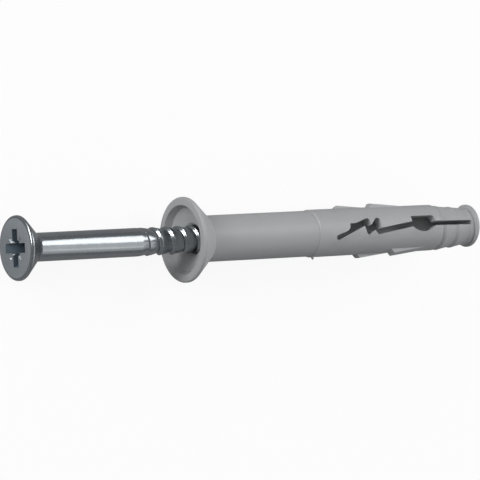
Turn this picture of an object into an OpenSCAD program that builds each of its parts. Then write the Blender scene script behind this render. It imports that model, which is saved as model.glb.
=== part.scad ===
// Hammer fixing: a moulded sleeve with a collar, and the threaded nail that is driven into it.
// Each piece is drawn on its own axis, rim at zero and tip upwards, then laid down as it rests.

/* [Sleeve] */
// Length of the sleeve from its rim to its tip
sleeve_len = 37.75; // [32:0.5:60]
// Outside diameter of the plain tube
tube_d = 5; // [4.6:0.1:8]
// Where the plain tube ends and the expansion zone begins, from the rim
tube_end = 16.2; // [8:0.1:20]
// How much wider in radius the expansion zone starts than the tube
zone_step = 0.1; // [0.04:0.01:0.2]
// How much the expansion zone loses in radius by the nose
zone_fall = 0.08; // [0:0.01:0.15]

/* [Collar] */
// Outside diameter of the collar
collar_d = 9.2; // [8.6:0.1:14]
// Depth from the rim to where the collar's cone meets the tube
collar_len = 2.8; // [2.4:0.1:5]
// Depth of the collar's straight outer edge
collar_edge = 0.4; // [0.35:0.05:0.8]
// Rounding of the rim's outer corner
collar_round = 0.25; // [0.1:0.05:0.3]
// Opening of the recess at the rim
recess_d = 7.5; // [7.2:0.1:8]
// Depth of the recess's steep wall
recess_depth = 0.8; // [0.5:0.05:1]
// How much the steep wall leans in, in radius
recess_lean = 0.3; // [0.1:0.05:0.5]
// Depth of the recess floor where it meets the bore's mouth
floor_depth = 1.35; // [1.1:0.05:1.6]

/* [Nail] */
// Diameter of the nail's shank
nail_d = 3.05; // [2.5:0.05:3.2]
// Length of the nail from its head face to its point
nail_len = 38; // [30:0.5:60]
// Diameter of the nail's head
head_d = 6.9; // [6:0.1:7.2]
// Thickness of the head's straight edge
head_edge = 0.38; // [0.1:0.02:0.6]
// How far the head face stands out of the rim before the nail is driven
stick_out = 20.6; // [10:0.1:30]
// Length of the nail's point
point_len = 2.6; // [1.5:0.1:4]
// Diameter of the flat at the end of the point
point_d = 0.5; // [0.2:0.05:1]

/* [Cross recess] */
// Span of the arms at the head face
arm_span = 4.2; // [3:0.1:4.6]
// Width of each arm
arm_w = 1.05; // [0.6:0.05:1.2]
// Depth of the arms
arm_depth = 1.9; // [1.2:0.1:2.1]
// Turn of the arms about the nail's axis
arm_turn = 11; // [0:1:45]

/* [Running fit] */
// Free space in radius between the shank and the bore
bore_gap = 0.07; // [0.03:0.01:0.1]
// How much wider in radius the bore's mouth is than the bore
mouth_flare = 0.23; // [0.1:0.01:0.4]
// Free space along the axis between the driven head and the bore's mouth
seat_gap = 0.05; // [0.02:0.01:0.2]

/* [Expansion slot] */
// Start of the slot, past the end of the plain tube
slot_lead = 2.2; // [1:0.1:5]
// Width of the slot's straight run
slot_w = 0.5; // [0.3:0.05:0.7]
// How far the slot sways to each side of the middle
slot_sway = 0.93; // [0.7:0.01:1.1]
// Start of the slot to the first tooth
tooth_lead = 4.25; // [3:0.05:6]
// First tooth to the second tooth
tooth_pitch = 1.4; // [1.2:0.05:2]
// Length of the window in the slot
window_len = 3.1; // [2:0.1:4]
// End of the window to the tip
window_back = 6.15; // [5.4:0.05:8]
// Radius of the window's rounded corner
window_corner = 0.45; // [0.2:0.05:0.6]
// Turn of the far wall's slot away from straight behind the near one
far_turn = 16; // [0:1:20]
// End of the slot to the tip
slot_back = 0.95; // [0.5:0.05:2]

/* [Barbs] */
// First barb, past the end of the plain tube
barb_lead = 4; // [2:0.1:5]
// Step along the axis from one barb to the next
barb_step = 2; // [1.5:0.1:2.5]
// Length of a barb
barb_len = 4.7; // [3:0.1:5]
// Length of a barb's steep face
barb_rise = 0.35; // [0.1:0.05:0.6]
// How far a barb stands out of the zone
barb_h = 0.36; // [0.2:0.01:0.5]
// Width of a barb
barb_w = 1; // [0.6:0.05:1.6]

/* [Nose] */
// First nose ring to the tip
nose_len = 5; // [4.6:0.1:6]
// How much the nose is narrower in radius than the zone it follows
nose_drop = 0.17; // [0.1:0.01:0.25]
// Ring to ring along the nose
ring_pitch = 1.87; // [1.6:0.01:2]
// Length of a ring's steep face
ring_rise = 0.35; // [0.2:0.05:0.6]
// How far a ring stands out of the nose
ring_h = 0.13; // [0.1:0.01:0.2]
// How far the rings are set off towards the lower leg, where they bite most
ring_shift = 0.07; // [0:0.01:0.09]
// Diameter where the nose meets the tip ring
nose_end_d = 3.88; // [3.7:0.02:4.3]
// Diameter of the tip ring
tip_d = 4.7; // [4.5:0.05:4.9]
// Length of the tip ring
tip_len = 0.55; // [0.5:0.05:0.8]
// Rounding of the tip ring's outer corner
tip_round = 0.25; // [0.1:0.05:0.3]

/* [Rest] */
// Turn of the sleeve about its axis as it lies, with its light, cut-out wall near the top
sleeve_roll = 100.3; // [0:0.1:180]

/* [Hidden] */
$fn = 96;
tube_r = tube_d / 2;
collar_r = collar_d / 2;
recess_r = recess_d / 2;
nail_r = nail_d / 2;
head_r = head_d / 2;
tip_r = tip_d / 2;
zone_r = tube_r + zone_step;
zone_end_r = zone_r - zone_fall;
nose_start_r = zone_end_r - nose_drop;
nose_from = sleeve_len - nose_len;
nose_to = sleeve_len - tip_len;
head_h = head_edge + head_r - nail_r;
bore_r = nail_r + bore_gap;
mouth_r = bore_r + mouth_flare;
slot_from = tube_end + slot_lead;
tooth_1 = slot_from + tooth_lead;
tooth_2 = tooth_1 + tooth_pitch;
slot_to = sleeve_len - slot_back;
window_to = sleeve_len - window_back;
window_from = window_to - window_len;
half_w = slot_w / 2;
// Radius of the arc that scoops out the lower side of the window
scoop_h = slot_sway - half_w - 0.1;
scoop_r = (window_len * window_len / 4 + scoop_h * scoop_h) / (2 * scoop_h);
// Place of the head face once the nail is driven home, its cone on the bore's mouth
driven_face = floor_depth - head_h + mouth_r - nail_r - seat_gap;
// The bore narrows to the tip hole where the driven nail's point narrows, at the same slope
point_slope = (nail_r - point_d / 2) / point_len;
bore_end = min(driven_face + nail_len - point_len, sleeve_len - 0.3);
tip_hole_r = max(0.4, bore_r - point_slope * (sleeve_len - bore_end));
// Corner of the head face, cut at half a right angle
head_rim = 0.08;
// Lying angle: the collar's rim and the nail's head both touch the floor
rest_tilt = atan((collar_r - head_r) / (stick_out - head_rim + collar_round));
rest_lift = (collar_r - collar_round) * cos(rest_tilt) + collar_round * (1 - sin(rest_tilt));
rest_high = sleeve_len * cos(rest_tilt) + (tip_r - tip_round) * sin(rest_tilt);
rest_low = stick_out * cos(rest_tilt) + (head_r - head_rim) * sin(rest_tilt);
rest_shift = (rest_low - rest_high) / 2;

// Radius of the nose between its rings at a place along the axis
function nose_r(s) = nose_start_r + (nose_end_d / 2 - nose_start_r) * (s - nose_from) / (nose_to - nose_from);

// Radius of a ring that starts at one place, on its long slope at another
function ring_r(s, at) = nose_r(at) + ring_h * (s + ring_pitch - at) / (ring_pitch - ring_rise);

// Lays a piece drawn on the upright axis down on the floor
module lie_down() {
    translate([rest_shift, 0, rest_lift])
        rotate([0, -rest_tilt, 0])
            rotate([90 - sleeve_roll, 0, 0])
                rotate([0, 90, 0])
                    children();
}

// Cuts the near wall of the sleeve, from an outline drawn as place along the axis and height
module through_wall() {
    rotate([0, -90, 0])
        linear_extrude(height = collar_r)
            children();
}

// Outside of the sleeve as a turned outline
module sleeve_outside() {
    rotate_extrude() {
        polygon([
            [0, 0],
            [collar_r - collar_round, 0],
            [collar_r, collar_round],
            [collar_r, collar_edge],
            [tube_r, collar_len],
            [tube_r, tube_end],
            [zone_r, tube_end + zone_step],
            [zone_end_r, nose_from - ring_rise],
            [nose_start_r, nose_from],
            [nose_end_d / 2, nose_to],
            [tip_r, nose_to + 0.12],
            [tip_r, sleeve_len - tip_round],
            [tip_r - tip_round, sleeve_len],
            [0, sleeve_len]
        ]);
        translate([collar_r - collar_round, collar_round])
            circle(r = collar_round);
        translate([tip_r - tip_round, sleeve_len - tip_round])
            circle(r = tip_round);
    }
}

// One nose ring: steep towards the collar, falling slowly towards the tip, set off from the axis
module nose_ring(start) {
    end = min(start + ring_pitch, nose_to + 0.1);
    crest = min(start + ring_rise, end - 0.05);
    translate([0, -ring_shift, 0])
        rotate_extrude()
            polygon([
                [bore_r, start],
                [nose_r(start) - 0.02, start],
                [ring_r(start, crest), crest],
                [ring_r(start, end) - 0.02, end],
                [bore_r, end]
            ]);
}

// Recess for the nail's head, mouth, bore and tip hole, as one turned outline
module sleeve_inside() {
    rotate_extrude()
        polygon([
            [0, -1],
            [recess_r, -1],
            [recess_r, 0],
            [recess_r - recess_lean, recess_depth],
            [mouth_r, floor_depth],
            [bore_r, floor_depth + mouth_flare],
            [bore_r, bore_end],
            [tip_hole_r, sleeve_len],
            [tip_hole_r, sleeve_len + 1],
            [0, sleeve_len + 1]
        ]);
}

// One barb: a ramp round the axis, kept only beside the parting plane of one leg
module barb(place, front, up) {
    intersection() {
        rotate_extrude()
            polygon([
                [bore_r + 0.3, place],
                [zone_end_r - 0.02, place],
                [zone_r + barb_h, place + barb_rise],
                [zone_end_r - 0.02, place + barb_len],
                [bore_r + 0.3, place + barb_len]
            ]);
        translate([front ? -barb_w : 0, up ? 0 : -collar_r, place])
            cube([barb_w, collar_r, barb_len]);
    }
}

// Four barbs, staggered along the axis: far and near on the upper leg and on the lower leg
module barbs() {
    first = tube_end + barb_lead;
    barb(first, false, true);
    barb(first + barb_step, false, false);
    barb(first + 2 * barb_step, true, true);
    barb(first + 3 * barb_step, true, false);
}

// Small moulding nib beside the step, on the parting line
module gate_nib() {
    translate([0, -zone_r + 0.1, tube_end + zone_step + 0.05])
        rotate([90, 0, 0])
            cylinder(h = 0.4, r1 = 0.25, r2 = 0.06);
}

// Zigzag part of the slot, from its start over both teeth to the window
module zigzag() {
    polygon([
        [slot_from + 0.2, -slot_sway - 0.4],
        [tooth_1 - 0.55, 0.05],
        [tooth_1 - 0.28, -slot_sway + 0.18],
        [tooth_1, -slot_sway],
        [tooth_2 - 0.6, -half_w - 0.2],
        [tooth_2 - 0.15, -slot_sway],
        [window_from + 0.2, -half_w],
        [window_from + 0.2, half_w],
        [window_from - 0.2, half_w + 0.05],
        [tooth_2 + 0.25, -half_w],
        [tooth_2 + 0.25, slot_sway - 0.15],
        [tooth_2 - 0.1, slot_sway],
        [tooth_2 - 0.3, slot_sway - 0.05],
        [tooth_1 + 0.35, half_w - 0.1],
        [tooth_1 + 0.3, slot_sway - 0.2],
        [tooth_1 + 0.1, slot_sway],
        [tooth_1 - 0.25, slot_sway - 0.05],
        [tooth_1 - 1.55, half_w + 0.2],
        [tooth_1 - 2.4, half_w + 0.15],
        [tooth_1 - 2.5, -0.1],
        [tooth_1 - 2.8, -0.4],
        [slot_from, -slot_sway + 0.1],
        [slot_from - 0.05, -slot_sway - 0.2]
    ]);
}

// Window: square above with one round corner, scooped by an arc below
module window() {
    difference() {
        translate([window_from, 0])
            square([window_len, slot_sway]);
        translate([window_to - window_corner, slot_sway - window_corner])
            square(window_corner);
    }
    translate([window_to - window_corner, slot_sway - window_corner])
        circle(r = window_corner);
    intersection() {
        translate([window_from, -slot_sway])
            square([window_len, slot_sway]);
        translate([(window_from + window_to) / 2, scoop_r - slot_sway + 0.1])
            circle(r = scoop_r);
    }
}

// Straight run of the slot to its rounded end at the tip ring
module straight_slot(from) {
    translate([from, -half_w])
        square([slot_to - half_w - from, slot_w]);
    translate([slot_to - half_w, 0])
        circle(r = half_w);
}

// The expansion slot: zigzag, window and straight run in the near wall, a straight run in the far wall
module expansion_slot() {
    through_wall() {
        zigzag();
        window();
        straight_slot(window_to - 0.2);
    }
    rotate([0, 0, 180 - far_turn])
        through_wall()
            straight_slot(window_from);
}

// Cross recess in the nail's head, with its centre cone and the four slant marks
module cross_recess() {
    rotate([0, 0, arm_turn]) {
        for (turn = [0, 90])
            rotate([90, 0, turn])
                linear_extrude(height = arm_w, center = true)
                    polygon([
                        [-arm_span / 2, -0.1],
                        [arm_span / 2, -0.1],
                        [arm_span / 2, 0],
                        [arm_span / 4, arm_depth],
                        [-arm_span / 4, arm_depth],
                        [-arm_span / 2, 0]
                    ]);
        translate([0, 0, -0.1])
            cylinder(h = arm_depth + 0.3, r1 = arm_w * 1.15, r2 = arm_w * 0.35);
        for (turn = [45, 135])
            rotate([0, 0, turn])
                translate([-arm_span * 0.36, -arm_w * 0.12, -0.1])
                    cube([arm_span * 0.72, arm_w * 0.24, 0.4]);
    }
}

// Moulded sleeve
module plug_sleeve() {
    color([0.62, 0.63, 0.64])
        lie_down()
            difference() {
                union() {
                    sleeve_outside();
                    barbs();
                    gate_nib();
                    for (i = [0:2])
                        nose_ring(nose_from + i * ring_pitch);
                }
                sleeve_inside();
                expansion_slot();
            }
}

// Nail with its countersunk head, shank and point
module nail_screw() {
    color([0.75, 0.78, 0.82])
        lie_down()
            translate([0, 0, -stick_out])
                difference() {
                    rotate_extrude()
                        polygon([
                            [0, 0],
                            [head_r - head_rim, 0],
                            [head_r, head_rim],
                            [head_r, head_edge],
                            [nail_r, head_h],
                            [nail_r, nail_len - point_len],
                            [point_d / 2, nail_len],
                            [0, nail_len]
                        ]);
                    cross_recess();
                }
}

plug_sleeve();
nail_screw();
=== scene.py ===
import math

import bpy
from mathutils import Matrix, Quaternion, Vector


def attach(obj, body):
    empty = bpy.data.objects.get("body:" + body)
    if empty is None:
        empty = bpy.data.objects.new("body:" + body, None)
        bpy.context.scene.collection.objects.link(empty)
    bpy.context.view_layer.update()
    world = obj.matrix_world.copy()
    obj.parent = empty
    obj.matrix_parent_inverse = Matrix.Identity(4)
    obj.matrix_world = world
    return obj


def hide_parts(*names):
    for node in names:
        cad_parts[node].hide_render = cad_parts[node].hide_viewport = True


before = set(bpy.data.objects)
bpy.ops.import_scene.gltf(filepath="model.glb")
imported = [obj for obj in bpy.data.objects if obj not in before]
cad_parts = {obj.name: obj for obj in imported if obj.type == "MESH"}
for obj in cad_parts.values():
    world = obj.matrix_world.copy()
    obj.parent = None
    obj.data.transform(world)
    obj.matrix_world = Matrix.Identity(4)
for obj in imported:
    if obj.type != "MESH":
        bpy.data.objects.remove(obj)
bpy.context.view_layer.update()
print("frame loaded:", sorted(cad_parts))

# where the fixing lies: rim centre of the sleeve in metres, lying angle and turn, as in the solids
restPlace = {
    "rim": (-0.0085268, 0.0, 0.0045795),
    "tilt": 3.16914,
    "roll": 100.3,
}
millimetre = 0.001


def nothingSelected():
    if bpy.context.mode != "OBJECT":
        bpy.ops.object.mode_set(mode="OBJECT")
    bpy.ops.object.select_all(action="DESELECT")


def onlySelected(piece):
    nothingSelected()
    piece.select_set(True)
    bpy.context.view_layer.objects.active = piece


def layDown(piece):
    # drawn upright in millimetres, rim at zero and tip up; the move is applied to the mesh
    turn = (
        Matrix.Rotation(-math.radians(restPlace["tilt"]), 4, "Y")
        @ Matrix.Rotation(math.radians(90 - restPlace["roll"]), 4, "X")
        @ Matrix.Rotation(math.radians(90), 4, "Y")
    )
    piece.matrix_world = Matrix.Translation(restPlace["rim"]) @ turn @ Matrix.Scale(millimetre, 4)
    onlySelected(piece)
    bpy.ops.object.transform_apply(location=True, rotation=True, scale=True)


def drawOutline(name, points):
    # one vertex, extruded from corner to corner as (radius, height)
    nothingSelected()
    bpy.ops.mesh.primitive_plane_add(size=1, location=(0, 0, 0))
    piece = bpy.context.object
    piece.name = name
    bpy.ops.object.mode_set(mode="EDIT")
    bpy.ops.mesh.select_mode(type="VERT")
    bpy.ops.mesh.merge(type="CENTER")
    bpy.ops.transform.translate(value=(points[0][0], 0, points[0][1]))
    for (r0, z0), (r1, z1) in zip(points, points[1:]):
        step = (r1 - r0, 0, z1 - z0)
        bpy.ops.mesh.extrude_vertices_move(TRANSFORM_OT_translate={"value": step})
    return piece


def cutAway(piece, cutter):
    # the cut faces take the cutter's material
    onlySelected(piece)
    cut = piece.modifiers.new("cut", "BOOLEAN")
    cut.operation = "DIFFERENCE"
    cut.solver = "EXACT"
    cut.material_mode = "TRANSFER"
    cut.object = cutter
    bpy.ops.object.modifier_apply(modifier="cut")
    bpy.data.objects.remove(cutter)


def surfaceMottle():
    # soft cloudy variation and a fine grain, both on object coordinates
    group = bpy.data.node_groups.new("surfaceMottle", "ShaderNodeTree")
    for name, start in (("Cloud Scale", 300.0), ("Grain Scale", 4000.0)):
        socket = group.interface.new_socket(name, in_out="INPUT", socket_type="NodeSocketFloat")
        socket.default_value = start
    for name in ("Cloud", "Grain"):
        group.interface.new_socket(name, in_out="OUTPUT", socket_type="NodeSocketFloat")
    nodes, links = group.nodes, group.links
    given = nodes.new("NodeGroupInput")
    made = nodes.new("NodeGroupOutput")
    place = nodes.new("ShaderNodeTexCoord")
    for name, detail in (("Cloud", 3.0), ("Grain", 2.0)):
        noise = nodes.new("ShaderNodeTexNoise")
        noise.inputs["Detail"].default_value = detail
        links.new(place.outputs["Object"], noise.inputs["Vector"])
        links.new(given.outputs[name + " Scale"], noise.inputs["Scale"])
        links.new(noise.outputs["Fac"], made.inputs[name])
    return group


mottle = surfaceMottle()


def spread(nodes, links, source, low, high, colour=False):
    # maps a value from 0 to 1 to a range of colours or numbers
    ramp = nodes.new("ShaderNodeMix")
    ramp.data_type = "RGBA" if colour else "FLOAT"
    ins = {s.name: s for s in ramp.inputs if s.enabled}
    ins["A"].default_value = (*low, 1) if colour else low
    ins["B"].default_value = (*high, 1) if colour else high
    links.new(source, ins["Factor"])
    return [s for s in ramp.outputs if s.enabled][0]


def addGrainBump(nodes, links, surface, cloud, strength):
    bump = nodes.new("ShaderNodeBump")
    bump.inputs["Strength"].default_value = strength
    bump.inputs["Distance"].default_value = 0.0001
    links.new(cloud.outputs["Grain"], bump.inputs["Height"])
    links.new(bump.outputs["Normal"], surface.inputs["Normal"])


def makeMaterial(look):
    material = bpy.data.materials.new(look["name"])
    material.use_nodes = True
    nodes, links = material.node_tree.nodes, material.node_tree.links
    surface = nodes["Principled BSDF"]
    cloud = nodes.new("ShaderNodeGroup")
    cloud.node_tree = mottle
    cloud.inputs["Cloud Scale"].default_value = look["cloudScale"]
    cloud.inputs["Grain Scale"].default_value = look["grainScale"]
    colour = spread(nodes, links, cloud.outputs["Cloud"], look["dark"], look["light"], True)
    links.new(colour, surface.inputs["Base Color"])
    roughness = spread(nodes, links, cloud.outputs["Grain"], look["smooth"], look["rough"])
    links.new(roughness, surface.inputs["Roughness"])
    surface.inputs["Metallic"].default_value = look["metal"]
    if "refraction" in look:
        surface.inputs["IOR"].default_value = look["refraction"]
    if "grain" in look:
        addGrainBump(nodes, links, surface, cloud, look["grain"])
    return material


greyPlastic = {
    "name": "sleeveGreyPlastic",
    "dark": (0.33, 0.337, 0.343),
    "light": (0.368, 0.375, 0.381),
    "smooth": 0.40,
    "rough": 0.50,
    "metal": 0,
    "refraction": 1.48,
    "grain": 0.05,
    "cloudScale": 260,
    "grainScale": 5200,
}

# shank, thread and head cone
brightZinc = {
    "name": "nailBrightZinc",
    "dark": (0.30, 0.322, 0.34),
    "light": (0.36, 0.383, 0.40),
    "smooth": 0.14,
    "rough": 0.24,
    "metal": 1,
    "grain": 0.03,
    "cloudScale": 700,
    "grainScale": 3600,
}

# inside of the cross recess: darker, bluish zinc that is painted shade of the deep recess
recessPaintedShade = {
    "name": "recessPaintedShadeZinc",
    "dark": (0.10, 0.135, 0.17),
    "light": (0.15, 0.195, 0.235),
    "smooth": 0.28,
    "rough": 0.42,
    "metal": 0.5,
    "cloudScale": 900,
    "grainScale": 4200,
}

# head face, and the marks between the arms, which are painted pale as painted glints
paleZincAndPaintedGlint = {
    "name": "headPaleZincAndPaintedGlints",
    "dark": (0.46, 0.497, 0.53),
    "light": (0.56, 0.598, 0.63),
    "smooth": 0.3,
    "rough": 0.45,
    "metal": 0.9,
    "cloudScale": 800,
    "grainScale": 3000,
}

sleeveMaterial = makeMaterial(greyPlastic)
zincMaterial = makeMaterial(brightZinc)
recessShadeMaterial = makeMaterial(recessPaintedShade)
paleAndGlintMaterial = makeMaterial(paleZincAndPaintedGlint)
print("materials made")

# the nail, in millimetres, with heights from the head face
nailShape = {
    "headFace": -20.6,  # from the sleeve's rim
    "headR": 3.45,
    "shankR": 1.525,
    "pointR": 0.25,
    "length": 38,
    # (off the head's radius, height) and (off the shank's radius, height)
    "headRim": [(-0.3, 0), (-0.19, 0.02), (-0.09, 0.07), (-0.02, 0.15), (0, 0.25), (0, 0.36), (-0.03, 0.41)],
    "neck": [(0.2, 2.12), (0.05, 2.28), (0, 2.5)],
    "threadFrom": 14.9,
    "threadTo": 35.4,
    "ringLead": 0.2,  # the rings start this far before the thread
    "pitch": 1.57,
    "crestAt": 18.03,
    "rootAt": 0.86,  # share of the pitch from a crest to the next root
    "depth": 0.28,
    "runIn": 2.4,
    "runInPower": 0.8,
    "runOut": 1.0,
    "steps": 144,
    "ringCuts": (100, 3),  # subdivide takes 100 cuts at most
    "mergeWithin": 0.0005,
    "faceBand": 0.005,  # faces nearer to the head face than this are part of it
    "smoothAngle": 40,
}


def drawNail():
    n = nailShape
    head = [(n["headR"] + off, height) for off, height in n["headRim"]]
    neck = [(n["shankR"] + off, height) for off, height in n["neck"]]
    return drawOutline("nail", [(0, 0)] + head + neck + [
        (n["shankR"], n["threadFrom"] - n["ringLead"]), (n["shankR"], n["threadTo"]),
        (n["pointR"], n["length"]), (0, n["length"]),
    ])


def turnNail(piece):
    # rings along the threaded part, then once round the axis
    n = nailShape
    margin = 0.1
    bpy.ops.mesh.select_all(action="DESELECT")
    bpy.ops.object.mode_set(mode="OBJECT")
    for v in piece.data.vertices:
        v.select = n["threadFrom"] - n["ringLead"] - margin < v.co.z < n["threadTo"] + margin
    bpy.ops.object.mode_set(mode="EDIT")
    for cuts in n["ringCuts"]:
        bpy.ops.mesh.subdivide(number_cuts=cuts)
    bpy.ops.mesh.select_all(action="SELECT")
    bpy.ops.mesh.spin(steps=n["steps"], angle=2 * math.pi, center=(0, 0, 0), axis=(0, 0, 1))
    bpy.ops.mesh.select_all(action="SELECT")
    bpy.ops.mesh.remove_doubles(threshold=n["mergeWithin"])
    bpy.ops.mesh.normals_make_consistent(inside=False)
    bpy.ops.object.mode_set(mode="OBJECT")


def rollThread(piece):
    # right-hand thread: crests steep towards the head, falling slowly towards the point
    n = nailShape
    for v in piece.data.vertices:
        if n["threadFrom"] < v.co.z < n["threadTo"]:
            grow = min(1, (v.co.z - n["threadFrom"]) / n["runIn"]) ** n["runInPower"]
            fade = min(1, (n["threadTo"] - v.co.z) / n["runOut"])
            phase = (v.co.z - n["crestAt"]) / n["pitch"] - math.atan2(v.co.y, v.co.x) / (2 * math.pi)
            part = phase - math.floor(phase)
            rise = max(0, (part - n["rootAt"]) / (1 - n["rootAt"]))
            groove = min(1, part / n["rootAt"]) * (1 - rise * rise * (3 - 2 * rise))
            r = n["shankR"] - n["depth"] * grow * fade * groove
            scale = r / math.hypot(v.co.x, v.co.y)
            v.co.x *= scale
            v.co.y *= scale


# cross recess in the head, in millimetres; a taper is the floor's share of the opening
recessShape = {
    "span": 4.2,
    "width": 1.05,
    "depth": 1.9,
    "taper": (0.55, 0.8),
    "turn": 11,
    "cornerR": 1.15,
    "cornerDepth": 0.7,
    "cornerTaper": 0.45,
    "cornerLap": 0.02,
    "markLen": 3.5,
    "markWidth": 0.55,
    "markDepth": 0.3,
    "markTaper": (0.8, 0.1),
    "above": 0.2,  # how far a cutter stands out of the head face
}


def taperedBar(length, width, depth, taper, turn, skin):
    above = recessShape["above"]
    nothingSelected()
    bpy.ops.mesh.primitive_cube_add(size=1, location=(0, 0, 0))
    bar = bpy.context.object
    bpy.ops.object.mode_set(mode="EDIT")
    bpy.ops.transform.resize(value=(length, width, depth + above))
    bpy.ops.transform.translate(value=(0, 0, (depth - above) / 2))
    bpy.ops.mesh.select_all(action="DESELECT")
    bpy.ops.object.mode_set(mode="OBJECT")
    for v in bar.data.vertices:
        v.select = v.co.z > depth / 2
    bpy.ops.object.mode_set(mode="EDIT")
    bpy.ops.transform.resize(value=(*taper, 1))
    bpy.ops.object.mode_set(mode="OBJECT")
    bar.rotation_euler = (0, 0, math.radians(recessShape["turn"] + turn))
    bpy.ops.object.transform_apply(location=True, rotation=True, scale=True)
    bar.data.materials.append(skin)
    return bar


def cornerCone():
    # opens the inner corners between the arms
    r = recessShape
    nothingSelected()
    bpy.ops.mesh.primitive_cone_add(
        vertices=4, radius1=r["cornerR"], radius2=r["cornerR"] * r["cornerTaper"],
        depth=r["cornerDepth"] + r["cornerLap"], end_fill_type="NGON",
        location=(0, 0, r["cornerDepth"] / 2), rotation=(0, 0, math.radians(r["turn"] + 45)))
    cone = bpy.context.object
    bpy.ops.object.transform_apply(location=True, rotation=True, scale=True)
    cone.data.materials.append(zincMaterial)
    return cone


def cutRecess(piece):
    r = recessShape
    # the arms of the cross take the darker recess zinc, painted shade
    for turn in (0, 90):
        cutAway(piece, taperedBar(r["span"], r["width"], r["depth"], r["taper"], turn, recessShadeMaterial))
    cutAway(piece, cornerCone())
    # the marks are lined with pale zinc, painted glints
    for turn in (45, 135):
        mark = taperedBar(r["markLen"], r["markWidth"], r["markDepth"], r["markTaper"], turn, paleAndGlintMaterial)
        cutAway(piece, mark)


nail = drawNail()
turnNail(nail)
rollThread(nail)
nail.data.materials.append(zincMaterial)
nail.data.materials.append(paleAndGlintMaterial)
for face in nail.data.polygons:
    if face.center.z < nailShape["faceBand"]:
        face.material_index = 1
cutRecess(nail)
nail.data.transform(Matrix.Translation((0, 0, nailShape["headFace"])))
layDown(nail)
bpy.ops.object.shade_smooth_by_angle(angle=math.radians(nailShape["smoothAngle"]))
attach(nail, "nail")
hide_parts("nail_screw")
print("nail made:", len(nail.data.polygons), "faces")

# the sleeve keeps the solid's own form and gets the moulded grey plastic
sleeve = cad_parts["plug_sleeve"]
for place in sleeve.material_slots:
    place.material = sleeveMaterial
print("sleeve dressed:", len(sleeve.data.polygons), "faces")

# shares say how much of plain white a ray sees; the nail mirrors a dark room, so its share is small
stageSettings = {
    "floorSize": 6.0,
    "floorColour": (0.30, 0.304, 0.308),
    "floorSeen": (0.9, 0.9, 0.9),  # to the camera
    "floorShare": 0.9,
    "worldShare": 1.0,
    "glossyShare": 0.08,
    "worldColour": (0.22, 0.222, 0.225),
}


def rayShare(nodes, links, seenShare):
    # how much of the plain white a ray sees, by its kind
    path = nodes.new("ShaderNodeLightPath")
    total = None
    for name, share in (("Is Camera Ray", seenShare), ("Is Transmission Ray", seenShare),
                        ("Is Glossy Ray", stageSettings["glossyShare"])):
        part = nodes.new("ShaderNodeMath")
        part.operation = "MULTIPLY_ADD"
        links.new(path.outputs[name], part.inputs[0])
        part.inputs[1].default_value = share
        part.inputs[2].default_value = 0
        if total is not None:
            links.new(total, part.inputs[2])
        total = part.outputs[0]
    clip = nodes.new("ShaderNodeClamp")
    links.new(total, clip.inputs["Value"])
    return clip.outputs[0]


def makeFloor():
    nothingSelected()
    bpy.ops.mesh.primitive_plane_add(size=stageSettings["floorSize"], location=(0, 0, 0))
    floor = bpy.context.object
    floor.name = "floor"
    material = bpy.data.materials.new("paleFloor")
    material.use_nodes = True
    nodes, links = material.node_tree.nodes, material.node_tree.links
    nodes.clear()
    diffuse = nodes.new("ShaderNodeBsdfDiffuse")
    path = nodes.new("ShaderNodeLightPath")
    colour = spread(nodes, links, path.outputs["Is Camera Ray"], stageSettings["floorColour"],
                    stageSettings["floorSeen"], True)
    links.new(colour, diffuse.inputs["Color"])
    white = nodes.new("ShaderNodeEmission")
    mix = nodes.new("ShaderNodeMixShader")
    links.new(rayShare(nodes, links, stageSettings["floorShare"]), mix.inputs[0])
    links.new(diffuse.outputs[0], mix.inputs[1])
    links.new(white.outputs[0], mix.inputs[2])
    out = nodes.new("ShaderNodeOutputMaterial")
    links.new(mix.outputs[0], out.inputs["Surface"])
    floor.data.materials.append(material)


def makeWorld():
    world = bpy.data.worlds.new("studio")
    bpy.context.scene.world = world
    world.use_nodes = True
    nodes, links = world.node_tree.nodes, world.node_tree.links
    nodes.clear()
    fill = nodes.new("ShaderNodeBackground")
    fill.inputs["Color"].default_value = (*stageSettings["worldColour"], 1)
    white = nodes.new("ShaderNodeBackground")
    mix = nodes.new("ShaderNodeMixShader")
    links.new(rayShare(nodes, links, stageSettings["worldShare"]), mix.inputs[0])
    links.new(fill.outputs[0], mix.inputs[1])
    links.new(white.outputs[0], mix.inputs[2])
    out = nodes.new("ShaderNodeOutputWorld")
    links.new(mix.outputs[0], out.inputs["Surface"])


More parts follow.
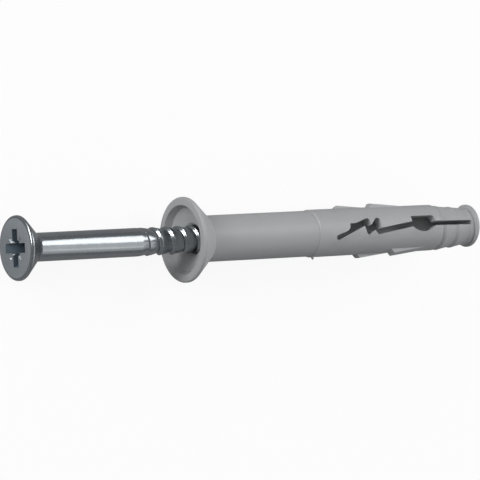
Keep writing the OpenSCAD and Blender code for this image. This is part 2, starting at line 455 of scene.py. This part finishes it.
# all at one distance; two aren't mirrored in the nail, and one gives the plastic no diffuse light
lampDistance = 0.6
lampSettings = [
    {"name": "tipSide", "towards": (0.52, 0.37, 0.77), "size": (0.31, 0.38), "power": 1.05},
    {"name": "headSide", "towards": (-0.87, 0.45, 0.2), "size": (0.4, 0.22), "power": 2.5},
    {"name": "farSide", "towards": (-0.5, 0.82, 0.24), "size": (0.42, 0.28), "power": 0.68, "diffuse": False},
    {"name": "overhead", "towards": (0.5, -0.27, 0.83), "size": (0.42, 0.34), "power": 0.34},
    {"name": "lowSide", "towards": (0.515, -0.643, 0.57), "size": (0.42, 0.26), "power": 0.16},
    {"name": "tipEnd", "towards": (0.93, 0.15, 0.33), "size": (0.3, 0.2), "power": 1.3, "mirrored": False},
    {"name": "front", "towards": (-0.5, 0.05, 0.86), "size": (0.25, 0.25), "power": 0.6, "mirrored": False},
]


def makeLamps():
    for lamp in lampSettings:
        light = bpy.data.lights.new(lamp["name"], "AREA")
        light.shape = "RECTANGLE"
        light.size, light.size_y = lamp["size"]
        light.energy = lamp["power"]
        holder = bpy.data.objects.new(lamp["name"], light)
        holder.visible_glossy = lamp.get("mirrored", True)
        holder.visible_diffuse = lamp.get("diffuse", True)
        bpy.context.scene.collection.objects.link(holder)
        way = Vector(lamp["towards"]).normalized()
        holder.location = way * lampDistance
        holder.rotation_mode = "QUATERNION"
        holder.rotation_quaternion = way.to_track_quat("Z", "Y")


makeFloor()
makeWorld()
makeLamps()
print("stage and lamps made")

# degrees and metres; rolled, so that the lying fixing is seen with its tip to the right
cameraSettings = {
    "lens": 350,
    "sensor": 36,
    "clip": (0.01, 50),
    "azimuth": -89.0,
    "elevation": 53.82,
    "roll": 85.92,
    "aim": (-0.00109, -0.00032, 0.00495),
    "distance": 0.5029,
}


def makeCamera():
    c = cameraSettings
    data = bpy.data.cameras.new("camera")
    data.lens = c["lens"]
    data.sensor_width = c["sensor"]
    data.clip_start, data.clip_end = c["clip"]
    camera = bpy.data.objects.new("camera", data)
    bpy.context.scene.collection.objects.link(camera)
    a, e = math.radians(c["azimuth"]), math.radians(c["elevation"])
    back = Vector((math.sin(a) * math.cos(e), -math.cos(a) * math.cos(e), math.sin(e)))
    camera.location = Vector(c["aim"]) + back * c["distance"]
    camera.rotation_mode = "QUATERNION"
    level = (-back).to_track_quat("-Z", "Y")
    camera.rotation_quaternion = level @ Quaternion((0, 0, 1), math.radians(c["roll"]))
    bpy.context.scene.camera = camera


makeCamera()
bpy.context.scene.view_settings.view_transform = "Standard"

print("done")
